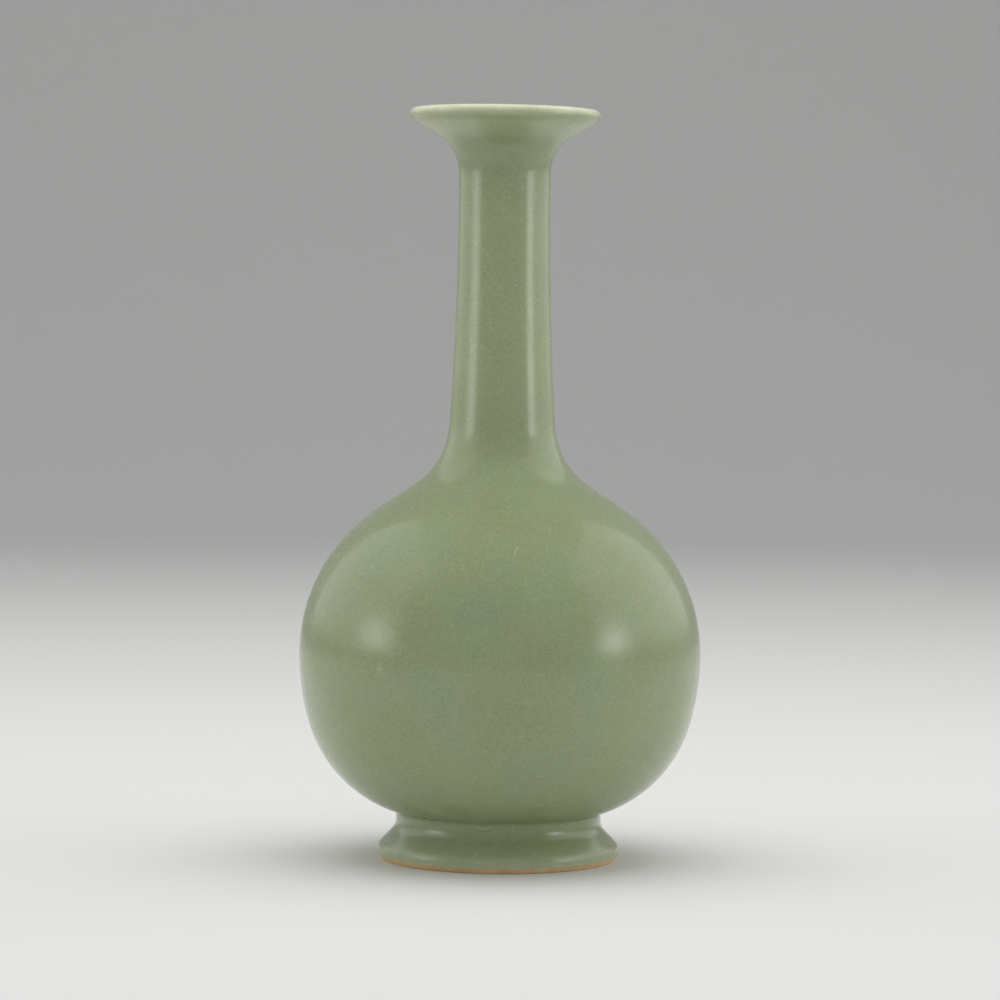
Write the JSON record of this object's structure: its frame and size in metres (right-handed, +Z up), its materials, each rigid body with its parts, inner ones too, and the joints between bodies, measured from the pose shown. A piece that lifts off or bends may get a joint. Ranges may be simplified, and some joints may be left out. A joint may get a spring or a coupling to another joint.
{
  "type": "porcelain vase",
  "caption": "Celadon-glazed porcelain bottle vase with a dished mouth, tall tapering neck, globular body and a splayed foot ring with a bare clay edge.",
  "frame": {"origin": "centre of the foot ring's contact circle, on the surface the vase stands on", "axes": "+Z up along the vase's axis of turning, from the foot to the mouth; X and Y are any two level directions, because the vase is round"},
  "size_m": [0.1606, 0.1606, 0.3],
  "materials": {
    "celadon_glaze": "glossy sage green glaze with a fine crackle, paler where it thins over the lip and foot edge",
    "biscuit_clay": "matt unglazed porcelain, fired orange brown",
    "slip": "matt fired luting slip"
  },
  "bodies": {
    "root": {"foot_ring": "biscuit_clay", "lower_body": "biscuit_clay", "upper_body": "biscuit_clay", "neck": "biscuit_clay", "mouth": "biscuit_clay", "foot_seam": "slip", "belly_seam": "slip", "neck_seam": "slip", "mouth_seam": "slip", "outer_glaze": "celadon_glaze", "inner_glaze": "celadon_glaze", "base_glaze": "celadon_glaze"}
  },
  "joints": []
}
